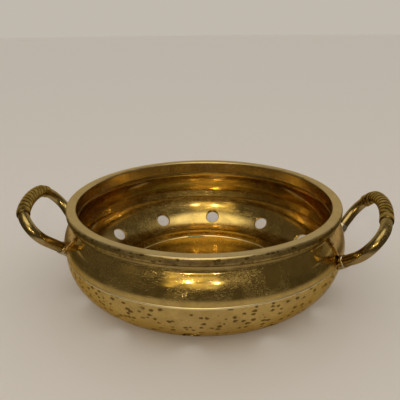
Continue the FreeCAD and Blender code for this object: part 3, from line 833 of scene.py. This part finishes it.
# %% How deep the sleeve is cut
def groove(along, angle, length, hand):
    """0 on a ridge and 1 at the bottom of a groove."""
    if along < BEAD / 2:
        return max(0.0, 1 - along / END_ROUND) ** 2 * 0.4
    if along > length - COLLAR_END:
        return max(0.0, 1 - (length - along) / END_ROUND) ** 2 * 0.5
    beside_bead = max(0.0, 1 - abs(along - BEAD) / END_ROUND)
    wander = 0.35 * math.sin(along / LONG_WANDER + 2 * angle)
    wander += 0.25 * math.sin(along / SHORT_WANDER - angle)
    phase = math.pi * ((along - BEAD) / ROPE_PITCH) + hand * ROPE_STARTS * angle / 2 + wander
    turn = abs(math.sin(phase))
    deep = 0.75 * max(0.0, 1 - turn / GROOVE_WIDTH) + 0.25 * (1 - turn)
    fade = min(1.0, (along - BEAD) / (0.5 * MM), (length - COLLAR_END - along) / (1.6 * MM))
    return max(beside_bead, deep * max(0.0, fade))


# %% Dark grooves, and rubbed ridges with painted highlights
RIDGE_RUB_AND_HIGHLIGHT = (0.52, 0.39, 0.15)


def groove_film(w):
    """The grooves keep a dark film."""
    return w.ramp(w.attribute("groove"), 0.15, 0.70, 0.0, 0.96)


def ridge_rub_and_highlight(w):
    """The ridges are rubbed bright in patches, which also paints highlights on their tops."""
    ridge = w.ramp(w.attribute("groove"), 0.03, 0.16, 1.0, 0.0)
    return w.math("MULTIPLY", ridge, w.ramp(w.noise(2.4, 2.0), 0.42, 0.60, 0.0, 0.60))


grip_finish = aged_brass(
    "grip_brass", film=0.90, shine=0.10, plain=(0.24, 0.165, 0.050), bright=(0.44, 0.32, 0.12),
    layers=((RIDGE_RUB_AND_HIGHLIGHT, 0.0, ridge_rub_and_highlight), (GRIME_AND_SHADE, 0.30, groove_film)),
)
print("grip finish:", len(grip_finish.node_tree.nodes), "nodes")


# %% Chase the grips
def chased_grip(side, loop):
    """The sleeve from its bead at the front, round the bow and into the rear corner."""
    start, end = loop.grip
    length = abs(end - start)
    grip_bm = bmesh.new()
    depth = grip_bm.verts.layers.float.new("groove")
    distances = spaced(start, end, GRIP_STEP)
    outer = push_along(grip_bm, loop, GRIP_RADIUS, GRIP_SIDES, distances, cap=False)
    for ring, distance in zip(outer, distances):
        centre = loop.at(distance)[0]
        for index, vert in enumerate(ring):
            angle = math.tau * index / GRIP_SIDES
            cut = groove(abs(distance - start), angle, length, loop.rear)
            vert[depth] = cut * ROPE_WEAR[side]
            vert.co += (centre - vert.co).normalized() * ROPE_DEPTH * vert[depth]
    inside = spaced(start, end, 4 * GRIP_STEP)
    inner = push_along(grip_bm, loop, GRIP_BORE, GRIP_SIDES, inside, cap=False)
    for outer_ring, inner_ring in ((outer[0], inner[0]), (outer[-1], inner[-1])):
        ends = {*outer_ring, *inner_ring}
        edges = [e for e in grip_bm.edges if set(e.verts) <= ends and e.is_boundary]
        bmesh.ops.bridge_loops(grip_bm, edges=edges)
    bmesh.ops.transform(grip_bm, matrix=loop.place, verts=grip_bm.verts)
    bmesh.ops.recalc_face_normals(grip_bm, faces=grip_bm.faces)
    print(f"{side} grip: {length / MM:.1f} mm long, {length / ROPE_PITCH:.0f} ridges")
    return grip_bm


for side, loop in loops.items():
    grip = piece_from(chased_grip(side, loop), f"{side}_handle_grip_chased", grip_finish, creases=False)
    dress(grip, f"{side}_handle_grip")

# %% [markdown]
# ## The feet
# A small collar round each end of a rod joins it to the bowl. It is turned about the leg's own axis
# with a rounded shoulder, and its inner end is cut to the bowl's bulge with a Boolean, as a fitter
# files a tube to sit on a round wall.

# %% The bulge, as a solid to cut with
def bulge_cutter():
    """The collar's outside, moved out by the braze film, as a closed solid."""
    floor_height = SEAM_HEIGHT - 6 * MM
    solid = Outline(0, floor_height)
    solid.line(COLLAR_RADIUS + BRAZE_GAP, floor_height)
    solid.line(COLLAR_RADIUS + BRAZE_GAP, SEAM_HEIGHT)
    solid.arc(*SHOULDER_CENTRE, BEND, 28)
    solid.arc(*COVE_CENTRE, -BEND, 14)
    solid.line(NECK_RADIUS + BRAZE_GAP, RIM_UNDERSIDE)
    solid.line(0, RIM_UNDERSIDE)
    return piece_from(solid.turn(180), "bulge")


# %% Solder for the feet, and their places
SOLDER = (0.66, 0.62, 0.54)


def solder_specks(w):
    """Pale solder in blots over the foot."""
    return w.ramp(w.noise(1.5, 2.0), 0.44, 0.58, 0.0, 0.85)


foot_finish = aged_brass(
    "foot_brass", film=0.6, shine=0.17, plain=FITTING, bright=FITTING_BRIGHT, lumps=0.14,
    layers=((SOLDER, 0.05, solder_specks),),
)


def leg_place(loop, sign):
    """The matrix that stands a piece turned about Z on a leg's own axis."""
    lean = Matrix.Rotation(sign * loop.slope, 4, "Z")
    upright = Matrix.Rotation(math.pi / 2, 4, "Y")
    return loop.place @ Matrix.Translation((0, sign * loop.spread, 0)) @ lean @ upright


# %% Turn and fit the feet
FOOT_EDGE = 0.5 * MM
FOOT_BLANK = 7.0 * MM
FOOT_BORE = ROD_RADIUS - 0.3 * MM
for side, loop in loops.items():
    for end in ("front", "rear"):
        sign = loop.rear * (1 if end == "rear" else -1)
        foot = Outline(0, -FOOT_BLANK)
        foot.line(FOOT_RADIUS, -FOOT_BLANK)
        foot.line(FOOT_RADIUS, FOOT_STAND - FOOT_EDGE, 8)
        foot.arc(FOOT_RADIUS - FOOT_EDGE, FOOT_STAND - FOOT_EDGE, 90, 6)
        foot.line(FOOT_BORE, FOOT_STAND)
        foot.line(FOOT_BORE, ROD_SEAT)
        foot.line(0, ROD_SEAT)
        foot_bm = foot.turn(48)
        bmesh.ops.transform(foot_bm, matrix=leg_place(loop, sign), verts=foot_bm.verts)
        piece = piece_from(foot_bm, f"{side}_{end}_foot_turned", foot_finish)
        carve(piece, bulge_cutter())
        dress(piece, f"{side}_{end}_foot")

# %% [markdown]
# ## The handle plates
# A shield of thin sheet is shaped to the shoulder between the feet. A stretch of the collar's own
# outline, moved out by the braze film, is swung through part of a turn, trimmed to the shield's
# edges with flat cuts, and thickened. A narrow bevel then catches the light along its edge.

# %% Sizes of the plates
PLATE_SHEET = 0.8 * MM
PLATE_TOP = RIM_UNDERSIDE - 0.5 * MM
PLATE_BOTTOM = SEAM_HEIGHT + 0.8 * MM
PLATE_SIDE_HEIGHT = SEAM_HEIGHT + 8.0 * MM
PLATE_FOOT = 12.4 * MM
PLATE_BULGE = 1.6 * MM
PLATE_WIDTHS = {"right": 17.8 * MM, "left": 22.6 * MM}
PLATE_SWING = 30


def shield_edges(width):
    """The corners of one half of the shield, as (across, height), from the top down."""
    rise = PLATE_SIDE_HEIGHT - PLATE_BOTTOM
    span = width - PLATE_FOOT
    chord = math.hypot(rise, span)
    bulge = ((width + PLATE_FOOT) / 2 + PLATE_BULGE * rise / chord,
             (PLATE_SIDE_HEIGHT + PLATE_BOTTOM) / 2 - PLATE_BULGE * span / chord)
    return [(width, PLATE_TOP), (width, PLATE_SIDE_HEIGHT), bulge, (PLATE_FOOT, PLATE_BOTTOM)]


# %% A warmer, paler finish for the plates
def plate_reflected_spots(w):
    """A few faint spots of painted reflection."""
    return w.math("MULTIPLY", reflected_spots(w, size=2.6, cover=0.42), 0.5)


plate_finish = aged_brass(
    "plate_brass", film=0.30, shine=0.19, plain=(0.80, 0.58, 0.28), bright=(0.86, 0.66, 0.36),
    layers=((FILM_AND_SPOT_REFLECTION, 0.05, plate_reflected_spots),),
)
print("plate finish:", len(plate_finish.node_tree.nodes), "nodes")


# %% The outside skin of a plate
def shield(side):
    """The outside skin of one plate."""
    strip = Outline(COLLAR_RADIUS + BRAZE_GAP, PLATE_BOTTOM - 1.5 * MM)
    strip.line(COLLAR_RADIUS + BRAZE_GAP, SEAM_HEIGHT)
    strip.arc(*SHOULDER_CENTRE, BEND, 24)
    strip.arc(*COVE_CENTRE, -BEND, 12)
    strip.line(NECK_RADIUS + BRAZE_GAP, RIM_UNDERSIDE)
    bm = strip.bm
    bmesh.ops.rotate(bm, verts=bm.verts, cent=(0, 0, 0),
                     matrix=Matrix.Rotation(math.radians(-PLATE_SWING), 3, "Z"))
    bmesh.ops.spin(bm, geom=bm.verts[:] + bm.edges[:], cent=(0, 0, 0), axis=Z_AXIS,
                   angle=math.radians(2 * PLATE_SWING), steps=72, use_merge=False)
    corners = shield_edges(PLATE_WIDTHS[side])
    cuts = [((0, 0, PLATE_TOP), (0, 0, 1)), ((0, 0, PLATE_BOTTOM), (0, 0, -1))]
    for (y0, z0), (y1, z1) in zip(corners, corners[1:]):
        for sign in (1, -1):
            cuts.append(((0, sign * y0, z0), (0, sign * (z0 - z1), y1 - y0)))
    for spot, facing in cuts:
        bmesh.ops.bisect_plane(bm, geom=bm.verts[:] + bm.edges[:] + bm.faces[:], plane_co=spot,
                               plane_no=facing, clear_outer=True, dist=0.001 * MM)
    bmesh.ops.rotate(bm, verts=bm.verts, cent=(0, 0, 0),
                     matrix=Matrix.Rotation(loops[side].azimuth, 3, "Z"))
    return bm


# %% Thicken, notch and bevel the plates
PLATE_EDGE = 0.25 * MM
for side, loop in loops.items():
    plate_bm = shield(side)
    for face in plate_bm.faces:
        face.normal_update()
    centre = sum((f.calc_center_median() for f in plate_bm.faces), Vector()) / len(plate_bm.faces)
    outwards = sum((f.normal for f in plate_bm.faces), Vector())
    if outwards.dot(Vector((centre.x, centre.y, 0))) < 0:
        bmesh.ops.reverse_faces(plate_bm, faces=plate_bm.faces)
    plate = piece_from(plate_bm, f"{side}_handle_plate_formed", plate_finish, creases=False)
    thick = plate.modifiers.new("sheet", "SOLIDIFY")
    thick.thickness = PLATE_SHEET
    thick.offset = 1.0
    for sign in (1, -1):
        notch = Outline(0, -FOOT_BLANK)
        notch.line(FOOT_RADIUS + BRAZE_GAP, -FOOT_BLANK)
        notch.line(FOOT_RADIUS + BRAZE_GAP, FOOT_BLANK)
        notch.line(0, FOOT_BLANK)
        notch_bm = notch.turn(48)
        bmesh.ops.transform(notch_bm, matrix=leg_place(loop, sign), verts=notch_bm.verts)
        carve(plate, piece_from(notch_bm, "notch"))
    edge = plate.modifiers.new("edge", "BEVEL")
    edge.width = PLATE_EDGE
    edge.segments = 3
    edge.limit_method = "ANGLE"
    edge.angle_limit = math.radians(50)
    even_shading(plate)
    dress(plate, f"{side}_handle_plate")

# %% [markdown]
# ## Floor, light and camera
# The floor is plain and pale. Metal shows what is round it, so the world matters more than lamps.
# For what the metal mirrors it is a room: pale behind the burner, dim on the camera's side, with a
# lit window in front and a bright ceiling light. For the camera and for soft light it is plain and
# pale. It could be painted as an image, but a few ramps on the direction of view need no file.
# Two small warm bulbs in front of the burner add the sharp glints.

# %% A pale floor, dark to the metal where the table would end
TABLE_NEAR, TABLE_FAR = 0.100, 0.145
TABLE_STRETCH = 1.3
FLOOR_PALE = (0.85, 0.79, 0.72)
FLOOR_DARK = (0.10, 0.085, 0.055)

floor_bm = bmesh.new()
bmesh.ops.create_circle(floor_bm, cap_ends=True, segments=96, radius=4.0)
floor_paint = Wiring("pale_floor")
rays = floor_paint.tree.nodes.new("ShaderNodeLightPath")
seen_in_metal = floor_paint.math(
    "MAXIMUM", rays.outputs["Is Glossy Ray"], rays.outputs["Is Transmission Ray"],
)
floor_x, floor_y, _ = floor_paint.split()
wide = floor_paint.math("MULTIPLY", floor_x, TABLE_STRETCH)
away = floor_paint.math("MULTIPLY_ADD", wide, wide, floor_paint.math("MULTIPLY", floor_y, floor_y))
beyond = floor_paint.ramp(floor_paint.math("SQRT", away), TABLE_NEAR, TABLE_FAR)
beyond = floor_paint.math("MULTIPLY", beyond, floor_paint.ramp(floor_y, 0.03, 0.20, 1.0, 0.0))
beyond = floor_paint.math("MULTIPLY", beyond, seen_in_metal)
floor_colour = floor_paint.mix(beyond, FLOOR_PALE, FLOOR_DARK)
floor_paint.put(floor_paint.shader.inputs["Base Color"], floor_colour)
floor_paint.shader.inputs["Roughness"].default_value = 0.9
floor = piece_from(floor_bm, "pale_floor", floor_paint.material, creases=False)
print("floor:", len(floor_paint.tree.nodes), "nodes in its material")

# %% The room, as the world
world = bpy.data.worlds.new("room")
scene.world = world
world.use_nodes = True
room = world.node_tree
room.nodes.clear()


def room_node(kind, *values, operation=None):
    """A node of the world with its first inputs set or linked."""
    node = room.nodes.new(kind)
    if operation:
        node.operation = operation
    for socket, value in zip(node.inputs, values):
        if isinstance(value, bpy.types.NodeSocket):
            room.links.new(value, socket)
        else:
            socket.default_value = value
    return node


def room_math(operation, *values):
    return room_node("ShaderNodeMath", *values, operation=operation).outputs[0]


def room_ramp(value, low, high, to_low=0.0, to_high=1.0):
    node = room_node("ShaderNodeMapRange", value, low, high, to_low, to_high)
    node.interpolation_type = "SMOOTHSTEP"
    return node.outputs[0]


def room_mix(share, first, second):
    node = room.nodes.new("ShaderNodeMix")
    node.data_type = "RGBA"
    pairs = ((node.inputs["Factor"], share), (node.inputs["A"], first), (node.inputs["B"], second))
    for socket, value in pairs:
        if isinstance(value, bpy.types.NodeSocket):
            room.links.new(value, socket)
        else:
            socket.default_value = (*value, 1) if isinstance(value, tuple) else value
    return node.outputs["Result"]


# %% Directions in the room
way = room_node("ShaderNodeSeparateXYZ", room_node("ShaderNodeTexCoord").outputs["Generated"])
way_x, way_y, way_z = way.outputs
azimuth = room_math("ARCTAN2", way_x, room_math("MULTIPLY", way_y, -1.0))
height = room_math("ARCSINE", way_z)


def patch(left, right, low, high, soft):
    """1 inside a window of the room, given in degrees from the front and above level."""
    reach = math.radians(soft)
    share = None
    limits = ((azimuth, left, 0.0), (azimuth, right, 1.0), (height, low, 0.0), (height, high, 1.0))
    for value, limit, before in limits:
        limit = math.radians(limit)
        inside = room_ramp(value, limit - reach, limit + reach, before, 1.0 - before)
        share = inside if share is None else room_math("MULTIPLY", share, inside)
    return share


# %% What the metal mirrors
ROOM_DIM = (0.10, 0.082, 0.052)
ROOM_PALE = (0.52, 0.48, 0.41)
WINDOW = (-26, 17, 14, 56)
WINDOW_EDGE = 2.5
WINDOW_DIM, WINDOW_LIT = (0.36, 0.27, 0.09), (1.5, 1.2, 0.48)
CEILING_Y, CEILING_Z = -0.23, 0.973
CEILING_HALO, CEILING_LIGHT = (0.55, 0.50, 0.38), (1.85, 1.72, 1.30)

low_down = room_ramp(height, 0.58, 0.86, 1.0, 0.25)
behind = room_math("MULTIPLY", room_ramp(way_y, 0.25, 0.80), low_down)
mirrored = room_mix(behind, ROOM_DIM, ROOM_PALE)
mottle = room_node("ShaderNodeTexNoise", room_node("ShaderNodeTexCoord").outputs["Generated"])
mottle.inputs["Scale"].default_value = 8.0
window = room_mix(room_ramp(mottle.outputs[0], 0.38, 0.62), WINDOW_DIM, WINDOW_LIT)
mirrored = room_mix(patch(*WINDOW, WINDOW_EDGE), mirrored, window)
above = room_math(
    "ADD", room_math("MULTIPLY", way_y, CEILING_Y), room_math("MULTIPLY", way_z, CEILING_Z),
)
mirrored = room_mix(room_ramp(above, 0.82, 0.92), mirrored, CEILING_HALO)
mirrored = room_mix(room_ramp(above, 0.89, 0.96), mirrored, CEILING_LIGHT)

# %% What the camera sees, and the soft light
BACKDROP = (0.53, 0.485, 0.425)
SOFT_LIGHT = (0.60, 0.58, 0.55)

rays = room_node("ShaderNodeLightPath")
sharp = room_math("MAXIMUM", rays.outputs["Is Glossy Ray"], rays.outputs["Is Transmission Ray"])
soft = room_mix(rays.outputs["Is Camera Ray"], SOFT_LIGHT, BACKDROP)
glow = room_node("ShaderNodeBackground", room_mix(sharp, soft, mirrored), 1.0)
room_node("ShaderNodeOutputWorld", glow.outputs[0])
print("room:", len(room.nodes), "nodes")

# %% Lamps
WARM = (1.0, 0.86, 0.62)
LAMP_AIM = Vector((0, 0, 0.02))
BULBS = {
    # name: (place in metres, width in metres, watts)
    "left_bulb": ((-0.070, -0.572, 0.322), 0.026, 0.30),
    "right_bulb": ((0.147, -0.572, 0.296), 0.022, 0.20),
}
for name, (place, width, watts) in BULBS.items():
    data = bpy.data.lights.new(name, "AREA")
    data.shape = "DISK"
    data.size = width
    data.energy = watts
    data.color = WARM
    bulb = bpy.data.objects.new(name, data)
    scene.collection.objects.link(bulb)
    bulb.location = place
    bulb.rotation_euler = (LAMP_AIM - Vector(place)).to_track_quat("-Z", "Y").to_euler()
    print(f"{name}: {watts} W, {(LAMP_AIM - Vector(place)).length:.2f} m away")

# %% The camera
CAMERA_PLACE = (0.0164, -0.1827, 0.1025)
CAMERA_YAW, CAMERA_PITCH, CAMERA_ROLL = 0.0980, 0.3574, -0.0100
CAMERA_LENS = 42.79
camera = bpy.data.objects.new("camera", bpy.data.cameras.new("camera"))
scene.collection.objects.link(camera)
camera.location = CAMERA_PLACE
camera.data.lens = CAMERA_LENS
heading = Matrix.Rotation(CAMERA_YAW, 4, "Z") @ Matrix.Rotation(math.pi / 2 - CAMERA_PITCH, 4, "X")
camera.rotation_euler = (heading @ Matrix.Rotation(CAMERA_ROLL, 4, "Z")).to_euler()
scene.camera = camera
scene.view_settings.view_transform = "Standard"
print(f"camera: {Vector(CAMERA_PLACE).length:.3f} m from the base")
